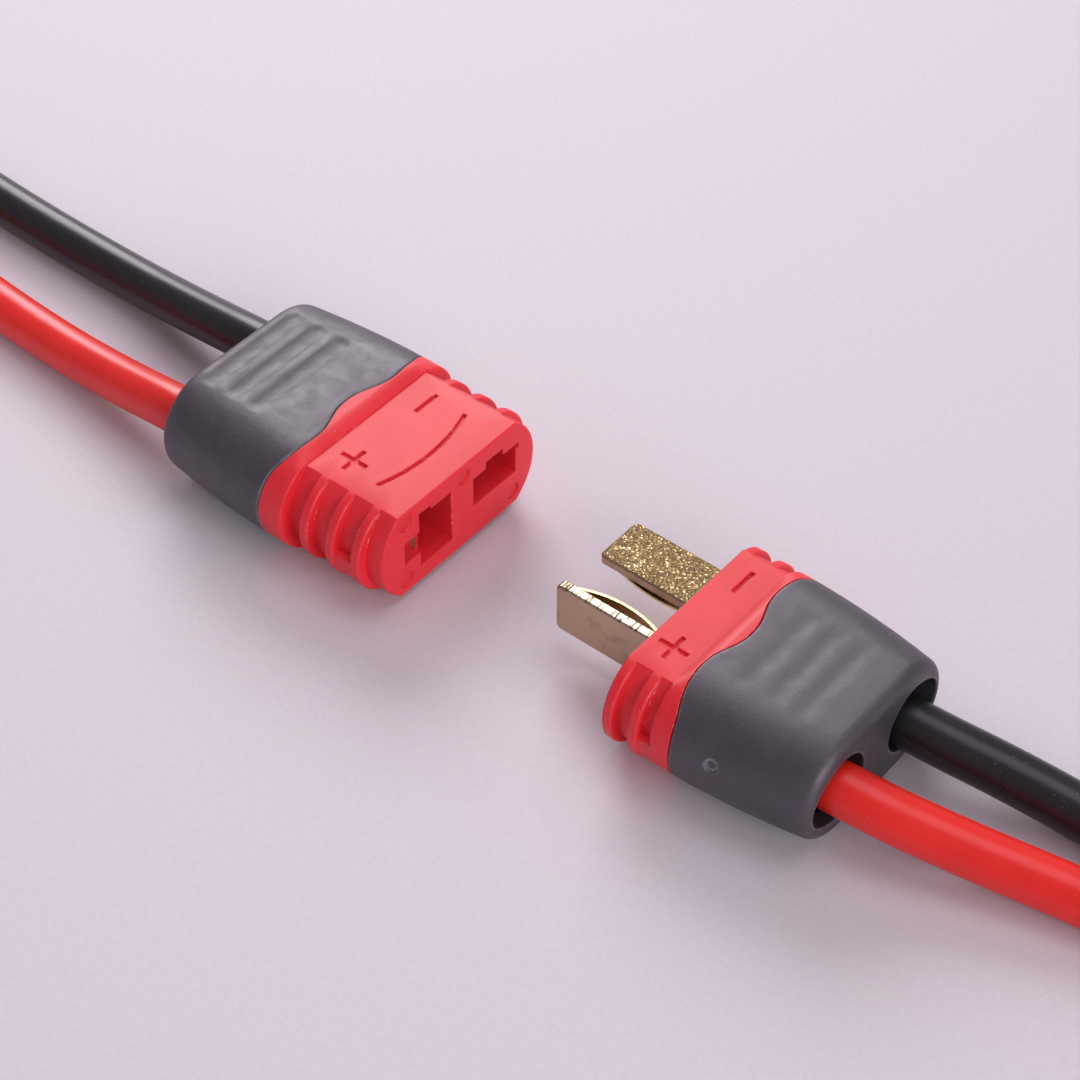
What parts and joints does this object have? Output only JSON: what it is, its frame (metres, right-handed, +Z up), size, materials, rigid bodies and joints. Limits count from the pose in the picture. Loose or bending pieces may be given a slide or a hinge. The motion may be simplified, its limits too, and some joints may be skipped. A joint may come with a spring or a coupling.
{
  "type": "two-pole flat-blade battery connector pair",
  "caption": "Keyed two-pole power connector: a finned socket and a flat-blade plug that slide together, with soft rear boots and pigtail leads.",
  "frame": {"origin": "centre of the footprint of the two connector halves, leads left out, on the surface that the boots rest on", "axes": "+X along the mating axis from the socket half to the plug half, +Y towards the negative pole, +Z up"},
  "size_m": [0.25, 0.0203, 0.008],
  "materials": {
    "housing_nylon": "fine satin moulding",
    "boot_rubber": "matte",
    "gold_plate": "gold plated",
    "spring_metal": "gold plated",
    "solder": "satin",
    "tinned_copper": "tinned strands",
    "red_silicone": "satin",
    "black_silicone": "satin"
  },
  "bodies": {
    "socket": {"socket_housing": "housing_nylon", "socket_boot": "boot_rubber", "socket_contact_positive": "gold_plate", "socket_core_positive": "tinned_copper", "socket_solder_positive": "solder", "socket_lead_positive": "red_silicone", "socket_lead_tip_positive": "tinned_copper", "socket_contact_negative": "gold_plate", "socket_core_negative": "tinned_copper", "socket_solder_negative": "solder", "socket_lead_negative": "black_silicone", "socket_lead_tip_negative": "tinned_copper"},
    "plug": {"plug_housing": "housing_nylon", "plug_boot": "boot_rubber", "plug_blade_positive": "gold_plate", "plug_spring_positive": "spring_metal", "plug_core_positive": "tinned_copper", "plug_solder_positive": "solder", "plug_lead_positive": "red_silicone", "plug_lead_tip_positive": "tinned_copper", "plug_blade_negative": "gold_plate", "plug_spring_negative": "spring_metal", "plug_core_negative": "tinned_copper", "plug_solder_negative": "solder", "plug_lead_negative": "black_silicone", "plug_lead_tip_negative": "tinned_copper"}
  },
  "joints": [
    {"name": "plug_mate", "type": "slide", "parent": "socket", "child": "plug", "axis": [-1, 0, 0], "range_m": [0, 0.0183]}
  ]
}
